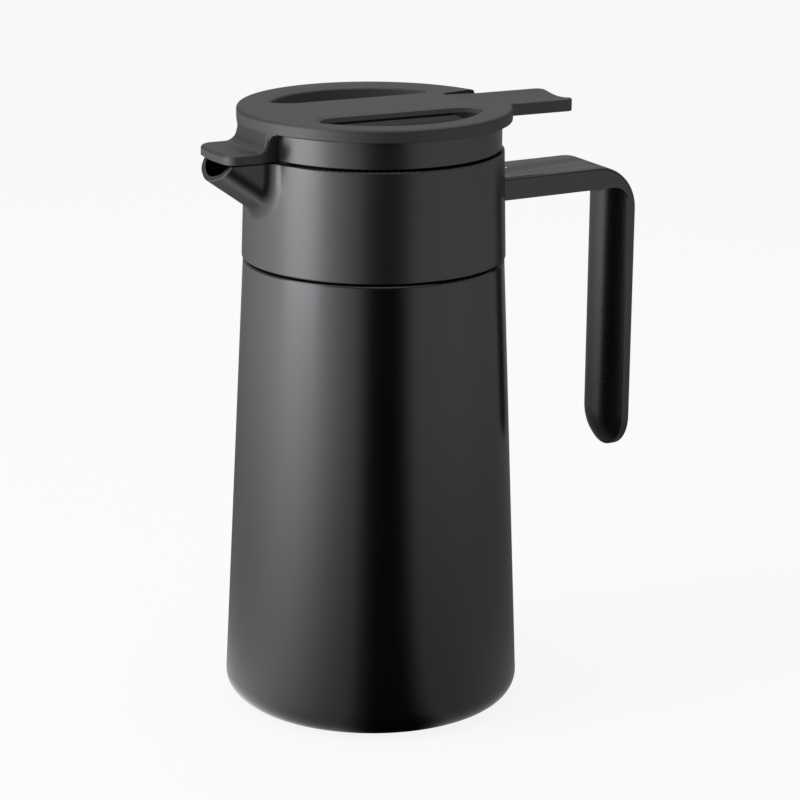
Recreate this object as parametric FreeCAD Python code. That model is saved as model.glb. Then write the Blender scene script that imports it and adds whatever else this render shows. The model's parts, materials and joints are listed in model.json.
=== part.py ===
import FreeCAD, Part
import math
import os

# Thermal carafe: a vacuum vessel with a collar, a handle and a twist-off lid with a pouring valve.
# Millimetres. The origin is the centre of the base on the table, +Z is up, the spout points to -X
# and the handle to +X.

V = FreeCAD.Vector
ORIGIN = V(0, 0, 0)
UP = V(0, 0, 1)
FAR = 300.0  # longer than the object, for cutting blocks

# Vessel
BASE_RADIUS = 52.0  # the cone carried down to the table
BODY_TAPER = 7.0
SHOULDER_RADIUS = BASE_RADIUS - BODY_TAPER
SHOULDER_Z = 158.9
BASE_ROUNDING = 8.0
SHOULDER_ROUNDING = 1.0
FOOT_GAP = 0.8  # the steel clears the table
SHELL_WALL = 0.8
NECK_STEP = 7.5
NECK_RADIUS = SHOULDER_RADIUS - NECK_STEP
NECK_HEIGHT = 17.1
LINER_WALL = 0.6
VACUUM_GAP = 5.0
LINER_ROUNDING = 9.0
LINER_SHOULDER_DROP = 9.0  # top of the liner's cone below the steel shoulder
LINER_NECK_DROP = 2.5
MOUTH_STEP = 3.1
MOUTH_RADIUS = NECK_RADIUS - MOUTH_STEP
FOIL_GAP = 0.3
FOIL_THICKNESS = 0.3
FOIL_MARGIN = 14.0

# Base
PAD_INSET = 12.4
PAD_RADIUS = BASE_RADIUS - PAD_INSET
PAD_THICKNESS = 3.2
PAD_CLEARANCE = 0.4
LEDGE_WIDTH = 6.0
PLATE_LAP = 4.5  # base plate over the ledge
PLATE_THICKNESS = 0.8
PUMP_HOLE_RADIUS = 2.0
SEAL_RADIUS = 5.0
SEAL_THICKNESS = 0.6
GETTER_RADIUS = 4.5
GETTER_HEIGHT = 2.0
GETTER_OFFSET = 18.0

# Collar
SEAM_GAP = 0.6
COLLAR_HEIGHT = 37.3
COLLAR_BULGE = 0.4
COLLAR_BOTTOM_RADIUS = SHOULDER_RADIUS + COLLAR_BULGE
COLLAR_TAPER = 1.0
COLLAR_TOP_RADIUS = COLLAR_BOTTOM_RADIUS - COLLAR_TAPER
SKIN_WALL = 2.4
COLLAR_ROUNDING = 0.4
COLLAR_FOOT_ROUNDING = 0.5
BOWL_ROUNDING = 0.5
BOWL_FLOOR_ROUNDING = 1.0
SLEEVE_WALL = 1.4
BOWL_RIM = 2.2
BOWL_RADIUS = COLLAR_TOP_RADIUS - BOWL_RIM
FLANGE_THICKNESS = 2.4
NECK_RING_WALL = 1.7
NECK_RING_HEIGHT = 12.0
NECK_RING_LIFT = 2.5
THREAD_DEPTH = 0.6
THREAD_TURNS = 3
THREAD_CLEARANCE = 0.4
NECK_GASKET_THICKNESS = 0.8
NECK_GASKET_INSET = 0.4

# Spout
KEEL_DROP = 17.0  # keel below the collar's top where it leaves the wall
KEEL_OUT = 4.8
KEEL_START = COLLAR_TOP_RADIUS + KEEL_OUT
KEEL_SLOPE = 35.4
SPOUT_OUT = 18.6
SPOUT_REACH = COLLAR_TOP_RADIUS + SPOUT_OUT
SPOUT_INSET = 2.1  # narrower than the flap above it
SPOUT_VEE = 5.0  # height of its sloping sides, square to the keel
SPOUT_KEEL_ROUNDING = 12.0
SPOUT_SIDE_ROUNDING = 7.0
SPOUT_WALL = 2.2
SPOUT_BLEND = 6.0
SPOUT_SILL = 1.4  # its channel starts above the bowl's floor
LIP_ROUNDING = 0.5

# Handle
ARM_DROP = 12.2  # arm's top below the collar's top
ARM_HEIGHT = 7.9
ARM_RISE = 1.0  # degrees
HANDLE_HALF = 13.0
HANDLE_OUT = 52.9
HANDLE_REACH = COLLAR_TOP_RADIUS + HANDLE_OUT
HANDLE_CORNER = 16.0
HANDLE_INNER_CORNER = 6.0
GRIP_EDGE = 3.2
GRIP_SWELL = 4.8
GRIP_DROP = 104.8  # tip of the grip below the arm's top
GRIP_TOP_ROUNDING = 4.0
HANDLE_ROUNDING = 1.0
HANDLE_FIT = 0.1
TROUGH_RADIUS = 22.0
TROUGH_DEPTH = 2.2
TROUGH_LENGTH = 36.0
HANDLE_SCREW_SPACING = 14.0
HANDLE_SCREW_DROP = 2.3  # below the arm's top
HANDLE_SCREW_RADIUS = 1.8
HANDLE_SCREW_HEAD_RADIUS = 3.0
HANDLE_SCREW_HEAD = 1.3
HANDLE_SCREW_LENGTH = 14.0
SCREW_HEAD_CLEARANCE = 0.15

# Lid
LID_GAP = 0.6
RING_INSET = 0.9
RING_RADIUS = COLLAR_TOP_RADIUS - RING_INSET
RING_WALL = 1.6
RING_HEIGHT = 9.5
RING_ROUNDING = 0.5
DECK_ROUNDING = 0.8
DECK_THICKNESS = 1.6
PLUG_GAP = 2.8
PLUG_RADIUS = BOWL_RADIUS - PLUG_GAP
PLUG_WALL = 1.6
PLUG_FLOOR_GAP = 0.4
PLUG_FLOOR = 1.6
PLUG_ROUNDING = 1.0
PORT_HALF = 11.0
PORT_SILL = 2.2
PORT_HEADROOM = 1.9
STOPPER_GAP = 3.4
STOPPER_RADIUS = MOUTH_RADIUS - STOPPER_GAP
STOPPER_WALL = 1.6
STOPPER_DEPTH = 14.2
STOPPER_FLOOR = 2.2
STOPPER_ROUNDING = 1.0
SEAT_RADIUS = 11.0
SEAT_WALL = 1.6
SEAT_HEIGHT = 1.0
STOPPER_GASKET_HEIGHT = 3.2
STOPPER_GASKET_LIFT = 5.1
GASKET_CLEARANCE = 0.3
GASKET_ROUNDING = 0.5
GASKET_GROOVE_ROUNDING = 0.25
GASKET_RIB = 0.8
GASKET_RIB_REACH = 1.6

# Screw thread of the lid
LUG_COUNT = 3
LUG_ARC = 40.0
LUG_HEIGHT = 1.8
LUG_LEAD = 24.0
LUG_LIFT = 2.2
LUG_PLAY = 0.4
LUG_SIDE_PLAY = 0.6
LUG_STEPS = 8
LUG_ROOT = 0.4
SEAM_TURN = 90.0  # keeps the collar's own seam line clear of the lugs

# Lid cover
RIM_OVERHANG = 2.6
RIM_RADIUS = COLLAR_TOP_RADIUS + RIM_OVERHANG
RIM_HEIGHT = 4.6
RIM_ROUNDING = 1.2
RIM_UNDER_ROUNDING = 0.5
COVER_PLATE = 2.0
SPIGOT_WALL = 1.3
SPIGOT_DEPTH = 3.9
SPIGOT_CLEARANCE = 0.3
BARB_ANGLES = (60, 120, -120, -60)
BARB_HEIGHT = 1.2
BARB_WIDTH = 8.0
BARB_REACH = 0.7
BARB_CLEARANCE = 0.2
BLOCK_ANGLE = 15.6  # its sides are radial
BLOCK_FLARE = 1.4
BLOCK_CLEARANCE = 0.15
ARCH_RADIUS = 3.5
BLOCK_RUN = 0.64  # its sides stay radial this far beyond the rim
FLAP_OUT = 14.2
FLAP_REACH = RIM_RADIUS + FLAP_OUT
FLAP_BOW = 1.2
FLAP_THICKNESS = 3.4
FLAP_CORNER = 5.5
FLAP_FILLET = 4.0
FLAP_ROUNDING = 1.2
FLAP_BOW_ROUNDING = 30.0
BLOCK_BEND = 12.0  # rounding where its sides turn along the flap

# Finger pockets
POCKET_INSET = 7.0
POCKET_RADIUS = RIM_RADIUS - POCKET_INSET
BAR_SHARE = 0.375  # half-width of the bar over the pocket's radius
BAR_HALF = BAR_SHARE * POCKET_RADIUS
POCKET_CORNER = 8.0
POCKET_DEPTH = 8.0
POCKET_WALL = 1.5
POCKET_ROUNDING = 2.0
BROW_INSET = 3.3  # a shallow brow slopes to the pocket's steep outer wall
BROW_DROP = 0.7
POCKET_DRAFT = 72.0
BROW_ROUNDING = 1.0
BAR_EDGE = 2.2  # height of the bar above its shadow groove
BAR_GROOVE = 0.7
BAR_GROOVE_DEPTH = 1.2
FLANK_RUN = 3.0  # how far the bar's flank slopes out below the groove

# Lever
LEVER_INSET = 15.4
LEVER_START = RIM_RADIUS - LEVER_INSET
LEVER_OUT = 24.7
LEVER_REACH = RIM_RADIUS + LEVER_OUT
LEVER_HALF = 12.1
LEVER_NECK_HALF = 9.3  # at its inner end
LEVER_FLARE_INSET = 3.0
LEVER_FLARE_X = RIM_RADIUS - LEVER_FLARE_INSET  # full width from here
LEVER_FLARE_ROUNDING = 20.0
LEVER_KNEE_INSET = 1.0
LEVER_KNEE_X = RIM_RADIUS - LEVER_KNEE_INSET  # its top falls to here
LEVER_KNEE_ROUNDING = 40.0
LEVER_THICKNESS = 4.3
LEVER_SINK = 0.3
LEVER_FALL = 0.9
LEVER_CORNER = 3.0
LEVER_ROUNDING = 0.7
LEVER_TROUGH_RADIUS = 45.0
LEVER_TROUGH_DEPTH = 1.0
LEVER_CLEARANCE = 0.45
LEVER_NOTCH_DEPTH = 3.4
PIN_INSET = 12.5
PIN_X = RIM_RADIUS - PIN_INSET
PIN_DROP = 5.4  # pin's axis below the top of the lid
PIN_RADIUS = 1.25
PIN_PLAY = 0.08
PIN_FIT = 0.02
PIN_BOSS_WALL = 3.0
BARREL_RADIUS = 2.8
ARM_HALF = 4.6
ARM_THICKNESS = 2.4
FORK_HALF = 6.2
FORK_REACH = 5.0
FORK_THICKNESS = 1.3
FORK_PAD = 1.0
FORK_PAD_HALF = 1.4
FORK_CLEARANCE = 0.4
FORK_SLOT_PLAY = 1.0

# Valve
STEM_RADIUS = 2.4
STEM_PLAY = 0.1
BOSS_RADIUS = 5.2
BOSS_DROP = 5.0
STEM_SEAL_RADIUS = 3.9
STEM_SEAL_HEIGHT = 1.5
NUT_GAP = 0.3
NUT_SIZE = 9.0
NUT_HEIGHT = 2.3
VALVE_RADIUS = 13.5
VALVE_THICKNESS = 2.0
VALVE_GASKET_RADIUS = 14.2
VALVE_GASKET_THICKNESS = 1.8
VALVE_REST = 0.2
VALVE_BORE_PLAY = 0.05
RETAINER_RADIUS = 9.0
RETAINER_THICKNESS = 1.6
SPRING_RADIUS = 7.2
SPRING_WIRE = 0.6
SPRING_TURNS = 6
SPRING_SEAT_GAP = 0.1

# Sizes that follow
FLAP_HALF = (RIM_RADIUS + BLOCK_RUN) * math.tan(math.radians(BLOCK_ANGLE))
SPOUT_HALF = FLAP_HALF - SPOUT_INSET
NECK_TOP = SHOULDER_Z + NECK_HEIGHT
LIP_TOP = NECK_TOP + LINER_WALL
FLANGE_Z = LIP_TOP + NECK_GASKET_THICKNESS
BOWL_FLOOR = FLANGE_Z + FLANGE_THICKNESS
COLLAR_Z = SHOULDER_Z + SEAM_GAP
COLLAR_TOP = COLLAR_Z + COLLAR_HEIGHT
LID_Z = COLLAR_TOP + LID_GAP
DECK_TOP = LID_Z + DECK_THICKNESS
COVER_Z = LID_Z + RING_HEIGHT
TOP_Z = COVER_Z + RIM_HEIGHT
PLUG_FLOOR_Z = BOWL_FLOOR + PLUG_FLOOR_GAP
PLUG_Z = PLUG_FLOOR_Z + PLUG_FLOOR
STOPPER_Z = PLUG_FLOOR_Z - STOPPER_DEPTH
SEAT_Z = STOPPER_Z + STOPPER_FLOOR + SEAT_HEIGHT
PAD_RECESS_RADIUS = PAD_RADIUS + PAD_CLEARANCE
LEDGE_TOP = PAD_THICKNESS + SHELL_WALL
ARM_TOP = COLLAR_TOP - ARM_DROP
ARM_Z = ARM_TOP - ARM_HEIGHT
GRIP_Z = ARM_TOP - GRIP_DROP
PIN_Z = TOP_Z - PIN_DROP
RING_INNER = RING_RADIUS - RING_WALL
SPIGOT_RADIUS = RING_INNER - SPIGOT_CLEARANCE
SLEEVE_RADIUS = NECK_RADIUS + NECK_RING_WALL + THREAD_CLEARANCE
BOSS_Z = LID_Z - BOSS_DROP
FORK_Z = DECK_TOP + FORK_CLEARANCE
NUT_Z = FORK_Z + FORK_THICKNESS + FORK_PAD + NUT_GAP
VALVE_GASKET_Z = SEAT_Z + VALVE_REST
VALVE_Z = VALVE_GASKET_Z + VALVE_GASKET_THICKNESS
VALVE_TOP = VALVE_Z + VALVE_THICKNESS


def cone_radius(z):
    """Radius of the outer cone at height z."""
    return BASE_RADIUS + (SHOULDER_RADIUS - BASE_RADIUS) * z / SHOULDER_Z


def collar_radius(z):
    """Outer radius of the collar at height z."""
    share = (z - COLLAR_Z) / COLLAR_HEIGHT
    return COLLAR_BOTTOM_RADIUS + (COLLAR_TOP_RADIUS - COLLAR_BOTTOM_RADIUS) * share


def rounded_wire(corners):
    """Closed wire through (point, rounding) corners, with a tangent arc at each rounded one."""
    edges = []
    runs = []
    for i, (point, rounding) in enumerate(corners):
        before = (corners[i - 1][0] - point).normalize()
        after = (corners[(i + 1) % len(corners)][0] - point).normalize()
        if rounding == 0:
            runs.append((point, point))
            continue
        half = before.getAngle(after) / 2
        reach = rounding / math.tan(half)
        start = point + before * reach
        end = point + after * reach
        inward = (before + after).normalize()
        middle = point + inward * (rounding / math.sin(half) - rounding)
        edges.append(Part.Arc(start, middle, end).toShape())
        runs.append((start, end))
    for i, (start, end) in enumerate(runs):
        following = runs[(i + 1) % len(runs)][0]
        if (following - end).Length > 1e-6:
            edges.append(Part.LineSegment(end, following).toShape())
    return Part.Wire(Part.__sortEdges__(edges))


def corners_of(points, place):
    """Corners for rounded_wire from (a, b) or (a, b, rounding) points."""
    return [(place(p[0], p[1]), p[2] if len(p) > 2 else 0) for p in points]


def lathe(points):
    """Solid of revolution about Z from (radius, z, rounding) points."""
    wire = rounded_wire(corners_of(points, lambda r, z: V(r, 0, z)))
    return Part.Face(wire).revolve(ORIGIN, UP, 360)


def plate(points, z0, z1):
    """Upright prism from (x, y, rounding) points."""
    wire = rounded_wire(corners_of(points, lambda x, y: V(x, y, z0)))
    return Part.Face(wire).extrude(V(0, 0, z1 - z0))


def side_prism(points, half):
    """Prism across Y, from -half to half, from (x, z, rounding) points."""
    wire = rounded_wire(corners_of(points, lambda x, z: V(x, -half, z)))
    return Part.Face(wire).extrude(V(0, 2 * half, 0))


def box(x0, x1, y0, y1, z0, z1):
    return Part.makeBox(x1 - x0, y1 - y0, z1 - z0, V(x0, y0, z0))


def cylinder(radius, z0, z1, x=0.0, y=0.0):
    return Part.makeCylinder(radius, z1 - z0, V(x, y, z0))


def tube(inner, outer, z0, z1):
    return cylinder(outer, z0, z1).cut(cylinder(inner, z0, z1))


def cross_rod(radius, x, z, half):
    """Cylinder along Y, from -half to half."""
    return Part.makeCylinder(radius, 2 * half, V(x, -half, z), V(0, 1, 0))


def rod_x(radius, x0, x1, y, z):
    """Cylinder along X."""
    return Part.makeCylinder(radius, x1 - x0, V(x0, y, z), V(1, 0, 0))


def turned(shape, angle):
    """Copy of a shape, turned about Z."""
    copy = shape.copy()
    copy.rotate(ORIGIN, UP, angle)
    return copy


def fuse(shapes):
    return shapes[0].multiFuse(shapes[1:]).removeSplitter()


def edges_where(shape, wanted):
    """Edges of a shape whose middle point passes a test."""
    return [e for e in shape.Edges if wanted(e.valueAt((e.FirstParameter + e.LastParameter) / 2))]


def near(a, b):
    return abs(a - b) < 0.01


def outer_shell():
    wall = SHELL_WALL
    return lathe([
        (PAD_RECESS_RADIUS, FOOT_GAP),
        (cone_radius(FOOT_GAP), FOOT_GAP, BASE_ROUNDING),
        (SHOULDER_RADIUS, SHOULDER_Z, SHOULDER_ROUNDING),
        (NECK_RADIUS, SHOULDER_Z),
        (NECK_RADIUS, NECK_TOP),
        (NECK_RADIUS - wall, NECK_TOP),
        (NECK_RADIUS - wall, SHOULDER_Z - wall),
        (SHOULDER_RADIUS - wall, SHOULDER_Z - wall, SHOULDER_ROUNDING - wall),
        (cone_radius(FOOT_GAP) - wall, FOOT_GAP + wall, BASE_ROUNDING - wall),
        (PAD_RECESS_RADIUS + wall, FOOT_GAP + wall),
        (PAD_RECESS_RADIUS + wall, LEDGE_TOP),
        (PAD_RECESS_RADIUS - LEDGE_WIDTH, LEDGE_TOP),
        (PAD_RECESS_RADIUS - LEDGE_WIDTH, PAD_THICKNESS),
        (PAD_RECESS_RADIUS, PAD_THICKNESS),
    ])


def liner_radius(z):
    """Outer radius of the liner's cone at height z."""
    return cone_radius(z) - SHELL_WALL - VACUUM_GAP


def liner_bottom():
    return LEDGE_TOP + PLATE_THICKNESS + VACUUM_GAP


def inner_liner():
    wall = LINER_WALL
    bottom = liner_bottom()
    shoulder = SHOULDER_Z - LINER_SHOULDER_DROP
    neck = SHOULDER_Z - LINER_NECK_DROP
    outer_neck = MOUTH_RADIUS + wall
    return lathe([
        (0, bottom),
        (liner_radius(bottom), bottom, LINER_ROUNDING),
        (liner_radius(shoulder), shoulder, VACUUM_GAP),
        (outer_neck, neck, VACUUM_GAP - wall),
        (outer_neck, NECK_TOP),
        (NECK_RADIUS, NECK_TOP),
        (NECK_RADIUS, LIP_TOP),
        (MOUTH_RADIUS, LIP_TOP),
        (MOUTH_RADIUS, neck - wall, VACUUM_GAP),
        (liner_radius(shoulder) - wall, shoulder - wall, VACUUM_GAP - wall),
        (liner_radius(bottom) - wall, bottom + wall, LINER_ROUNDING - wall),
        (0, bottom + wall),
    ])


def radiation_foil():
    low = liner_bottom() + FOIL_MARGIN
    high = SHOULDER_Z - LINER_SHOULDER_DROP - FOIL_MARGIN
    inner = FOIL_GAP
    outer = FOIL_GAP + FOIL_THICKNESS
    return lathe([
        (liner_radius(low) + inner, low),
        (liner_radius(low) + outer, low),
        (liner_radius(high) + outer, high),
        (liner_radius(high) + inner, high),
    ])


def shell_base():
    radius = PAD_RECESS_RADIUS - LEDGE_WIDTH + PLATE_LAP
    return tube(PUMP_HOLE_RADIUS, radius, LEDGE_TOP, LEDGE_TOP + PLATE_THICKNESS)


def vacuum_seal():
    return cylinder(SEAL_RADIUS, LEDGE_TOP - SEAL_THICKNESS, LEDGE_TOP)


def getter():
    bottom = LEDGE_TOP + PLATE_THICKNESS
    return cylinder(GETTER_RADIUS, bottom, bottom + GETTER_HEIGHT, GETTER_OFFSET)


def base_pad():
    return cylinder(PAD_RADIUS, 0, PAD_THICKNESS)


def neck_ring():
    low = SHOULDER_Z + NECK_RING_LIFT
    outer = NECK_RADIUS + NECK_RING_WALL
    pitch = NECK_RING_HEIGHT / THREAD_TURNS
    points = [(NECK_RADIUS, low + NECK_RING_HEIGHT), (NECK_RADIUS, low)]
    for turn in range(THREAD_TURNS):
        base = low + turn * pitch
        points += [
            (outer - THREAD_DEPTH, base),
            (outer - THREAD_DEPTH, base + pitch / 4),
            (outer, base + pitch / 2),
            (outer, base + pitch * 3 / 4),
        ]
    points.append((outer - THREAD_DEPTH, low + NECK_RING_HEIGHT))
    return lathe(points)


def neck_gasket():
    return tube(MOUTH_RADIUS + NECK_GASKET_INSET, NECK_RADIUS - NECK_GASKET_INSET, LIP_TOP, FLANGE_Z)


def keel_way():
    """Direction in which the keel climbs."""
    slope = math.radians(KEEL_SLOPE)
    return V(-math.cos(slope), 0, math.sin(slope))


def lip_point():
    """End of the keel at the lip, which is square to it."""
    climb = (SPOUT_REACH - KEEL_START) * math.tan(math.radians(KEEL_SLOPE))
    return V(-SPOUT_REACH, 0, COLLAR_TOP - KEEL_DROP + climb)


def keel_prism(half, rounding, lift, overrun):
    """V-shaped prism that climbs along the keel, lifted off the keel line, to the lip and beyond."""
    along = keel_way()
    square = V(along.z, 0, -along.x)
    start = lip_point() - along * 2 * COLLAR_HEIGHT + square * lift
    height = 2 * COLLAR_HEIGHT

    def place(y, up):
        return start + V(0, y, 0) + square * up

    vee = SPOUT_VEE * half / SPOUT_HALF
    outline = [
        (-half, height),
        (-half, vee, SPOUT_SIDE_ROUNDING),
        (0, 0, rounding),
        (half, vee, SPOUT_SIDE_ROUNDING),
        (half, height),
    ]
    section = Part.Face(rounded_wire(corners_of(outline, place)))
    return section.extrude(along * (2 * COLLAR_HEIGHT + overrun))


def spout_solid():
    prism = keel_prism(SPOUT_HALF, SPOUT_KEEL_ROUNDING, 0, 0)
    return prism.common(box(-FAR, -BOWL_RADIUS, -FAR, FAR, FLANGE_Z - SKIN_WALL, COLLAR_TOP))


def spout_channel():
    prism = keel_prism(SPOUT_HALF - SPOUT_WALL, SPOUT_KEEL_ROUNDING - SPOUT_WALL, SPOUT_WALL, SPOUT_WALL)
    return prism.common(box(-FAR, -PLUG_RADIUS, -FAR, FAR, BOWL_FLOOR + SPOUT_SILL, LID_Z))


def helical_lug(inner, outer, low, angle):
    """Piece of a screw thread: starts at an angle and a height, and climbs by the lead."""
    sections = []
    for step in range(LUG_STEPS + 1):
        turn = LUG_ARC * step / LUG_STEPS
        heading = math.radians(angle + turn)
        z = low + LUG_LEAD * turn / 360
        across = V(math.cos(heading), math.sin(heading), 0)
        feet = [across * inner, across * outer]
        outline = [feet[0] + UP * z, feet[1] + UP * z]
        outline += [feet[1] + UP * (z + LUG_HEIGHT), feet[0] + UP * (z + LUG_HEIGHT)]
        sections.append(Part.makePolygon(outline + outline[:1]))
    return Part.makeLoft(sections, True, True)


def lug_angles():
    """Where each lug starts: the first one is centred on the handle, clear of the spout."""
    return [360 / LUG_COUNT * i - LUG_ARC / 2 for i in range(LUG_COUNT)]


def lid_lug_z():
    return PLUG_Z + LUG_LIFT


def handle_screw_places():
    return [(-HANDLE_SCREW_SPACING / 2, ARM_TOP - HANDLE_SCREW_DROP),
            (HANDLE_SCREW_SPACING / 2, ARM_TOP - HANDLE_SCREW_DROP)]


def handle_screw_head_x():
    """Inner face of the screw heads, flush with the bowl."""
    return math.sqrt(BOWL_RADIUS ** 2 - (HANDLE_SCREW_SPACING / 2) ** 2) + SCREW_HEAD_CLEARANCE


def collar():
    skin_top = FLANGE_Z - SKIN_WALL
    skin = collar_radius(COLLAR_Z) - SKIN_WALL
    body = lathe([
        (SLEEVE_RADIUS, SHOULDER_Z),
        (SLEEVE_RADIUS + SLEEVE_WALL, SHOULDER_Z),
        (SLEEVE_RADIUS + SLEEVE_WALL, skin_top),
        (skin, skin_top),
        (skin, COLLAR_Z),
        (COLLAR_BOTTOM_RADIUS, COLLAR_Z, COLLAR_FOOT_ROUNDING),
        (COLLAR_TOP_RADIUS, COLLAR_TOP),
        (BOWL_RADIUS, COLLAR_TOP, BOWL_ROUNDING),
        (BOWL_RADIUS, BOWL_FLOOR, BOWL_FLOOR_ROUNDING),
        (MOUTH_RADIUS, BOWL_FLOOR),
        (MOUTH_RADIUS, FLANGE_Z),
        (SLEEVE_RADIUS, FLANGE_Z),
    ])
    body = fuse([turned(body, SEAM_TURN), spout_solid()]).cut(spout_channel())

    def seam(p):
        on_cone = near(math.hypot(p.x, p.y), collar_radius(p.z))
        beside = p.x < 0 and abs(p.y) < SPOUT_HALF + 0.01
        return on_cone and beside and skin_top - SPOUT_BLEND < p.z < COLLAR_TOP - 1

    def lip(p):
        return abs((p - lip_point()).dot(keel_way())) < 0.01

    def brim(p):
        outside = math.hypot(p.x, p.y) > COLLAR_TOP_RADIUS - 0.01
        return near(p.z, COLLAR_TOP) and outside and (p.x > 0 or abs(p.y) > SPOUT_HALF - 0.01)

    body = body.makeFillet(SPOUT_BLEND, edges_where(body, seam))
    body = body.makeFillet(COLLAR_ROUNDING, edges_where(body, brim))
    lip_edges = [e for e in edges_where(body, lip) if e.BoundBox.ZMin < COLLAR_TOP - 1]
    body = body.makeFillet(LIP_ROUNDING, lip_edges)
    inner = PLUG_RADIUS + LUG_SIDE_PLAY
    low = lid_lug_z() + LUG_HEIGHT + LUG_PLAY
    lugs = [helical_lug(inner, BOWL_RADIUS + LUG_ROOT, low, a) for a in lug_angles()]
    body = fuse([body] + lugs)
    head = handle_screw_head_x()
    for y, z in handle_screw_places():
        sink = HANDLE_SCREW_HEAD_RADIUS + SCREW_HEAD_CLEARANCE
        body = body.cut(rod_x(sink, PLUG_RADIUS, head + HANDLE_SCREW_HEAD, y, z))
        body = body.cut(rod_x(HANDLE_SCREW_RADIUS + SCREW_HEAD_CLEARANCE, head, FAR, y, z))
    return body


def handle_rise():
    """How much higher the arm is at the grip than at the collar."""
    return (HANDLE_REACH - COLLAR_TOP_RADIUS) * math.tan(math.radians(ARM_RISE))


def grip_end_z():
    """Height where the grip's round end begins."""
    return GRIP_Z + HANDLE_HALF


def handle_band():
    """Arm and outer face of the handle."""
    inner_face = HANDLE_REACH - GRIP_EDGE
    rise = handle_rise()
    return side_prism([
        (BOWL_RADIUS, ARM_TOP),
        (HANDLE_REACH, ARM_TOP + rise, HANDLE_CORNER),
        (HANDLE_REACH, grip_end_z()),
        (inner_face, grip_end_z()),
        (inner_face, ARM_Z + rise, HANDLE_INNER_CORNER),
        (BOWL_RADIUS, ARM_Z),
    ], HANDLE_HALF)


def grip_swell():
    """Rounded palm side of the grip, with a rounded top under the arm."""
    inner_face = HANDLE_REACH - GRIP_EDGE
    palm = inner_face - GRIP_SWELL
    low = grip_end_z()
    top = ARM_Z + handle_rise()
    chord = [V(inner_face, -HANDLE_HALF, low), V(palm, 0, low), V(inner_face, HANDLE_HALF, low)]
    outline = Part.Wire([Part.Arc(*chord).toShape(), Part.LineSegment(chord[2], chord[0]).toShape()])
    swell = Part.Face(outline).extrude(V(0, 0, top - low))
    return swell.common(side_prism([
        (HANDLE_REACH, low),
        (palm, low),
        (palm, top, GRIP_TOP_ROUNDING),
        (HANDLE_REACH, top),
    ], FAR))


def grip_end():
    """Round end of the grip: a ball's cap for the palm side, on half a disc."""
    inner_face = HANDLE_REACH - GRIP_EDGE
    radius = (HANDLE_HALF ** 2 + GRIP_SWELL ** 2) / (2 * GRIP_SWELL)
    centre = V(inner_face - GRIP_SWELL + radius, 0, grip_end_z())
    ball = Part.makeSphere(radius, centre)
    cap = ball.common(box(0, inner_face, -FAR, FAR, 0, grip_end_z()))
    disc = Part.makeCylinder(HANDLE_HALF, GRIP_EDGE, V(inner_face, 0, grip_end_z()), V(1, 0, 0))
    return [cap, disc.common(box(0, FAR, -FAR, FAR, 0, grip_end_z()))]


def grip_and_arm():
    """The whole handle bar, with rounded outer edges."""
    body = fuse([handle_band(), grip_swell()] + grip_end())
    rise = handle_rise()
    bend = V(HANDLE_REACH - HANDLE_CORNER, 0, ARM_TOP + rise - HANDLE_CORNER)

    def outer_rim(p):
        top = ARM_TOP + (p.x - BOWL_RADIUS) / (HANDLE_REACH - BOWL_RADIUS) * rise
        on_arm = near(p.z, top)
        on_corner = p.x > bend.x and p.z > bend.z and (V(p.x, 0, p.z) - bend).Length > HANDLE_CORNER - 1
        return near(p.x, HANDLE_REACH) or (near(abs(p.y), HANDLE_HALF) and (on_arm or on_corner))

    return body.makeFillet(HANDLE_ROUNDING, edges_where(body, outer_rim))


def handle():
    body = grip_and_arm()
    tilt = math.atan(TROUGH_DEPTH / TROUGH_LENGTH)
    start = V(COLLAR_TOP_RADIUS, 0, ARM_TOP + TROUGH_RADIUS - TROUGH_DEPTH)
    along = V(math.cos(tilt), 0, math.sin(tilt))
    body = body.cut(Part.makeCylinder(TROUGH_RADIUS, FAR, start - along * SKIN_WALL * 4, along))
    saddle = Part.makeCone(COLLAR_BOTTOM_RADIUS + HANDLE_FIT, COLLAR_TOP_RADIUS + HANDLE_FIT,
                           COLLAR_HEIGHT, V(0, 0, COLLAR_Z))
    body = body.cut(saddle)
    for y, z in handle_screw_places():
        body = body.cut(rod_x(HANDLE_SCREW_RADIUS, 0, handle_screw_head_x() + HANDLE_SCREW_LENGTH, y, z))
    return body


def handle_screws():
    head = handle_screw_head_x()
    screws = []
    for y, z in handle_screw_places():
        shank = rod_x(HANDLE_SCREW_RADIUS, head, head + HANDLE_SCREW_LENGTH, y, z)
        cap = rod_x(HANDLE_SCREW_HEAD_RADIUS, head, head + HANDLE_SCREW_HEAD, y, z)
        screws.append(fuse([shank, cap]))
    return Part.makeCompound(screws)


def stopper_gasket_z():
    return STOPPER_Z + STOPPER_GASKET_LIFT


def stopper_cup():
    gasket = stopper_gasket_z()
    rib = STOPPER_RADIUS + GASKET_RIB_REACH
    low_rib = gasket - GASKET_CLEARANCE
    high_rib = gasket + STOPPER_GASKET_HEIGHT + GASKET_CLEARANCE
    inner = STOPPER_RADIUS - STOPPER_WALL
    floor = STOPPER_Z + STOPPER_FLOOR
    return lathe([
        (SEAT_RADIUS, STOPPER_Z),
        (STOPPER_RADIUS, STOPPER_Z, STOPPER_ROUNDING),
        (STOPPER_RADIUS, low_rib - GASKET_RIB),
        (rib, low_rib - GASKET_RIB),
        (rib, low_rib),
        (STOPPER_RADIUS, low_rib),
        (STOPPER_RADIUS, high_rib),
        (rib, high_rib),
        (rib, high_rib + GASKET_RIB),
        (STOPPER_RADIUS, high_rib + GASKET_RIB),
        (STOPPER_RADIUS, PLUG_FLOOR_Z),
        (PLUG_RADIUS, PLUG_FLOOR_Z),
        (PLUG_RADIUS, PLUG_Z),
        (inner, PLUG_Z),
        (inner, floor, STOPPER_ROUNDING),
        (SEAT_RADIUS + SEAT_WALL, floor),
        (SEAT_RADIUS + SEAT_WALL, SEAT_Z),
        (SEAT_RADIUS, SEAT_Z),
    ])


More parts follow.
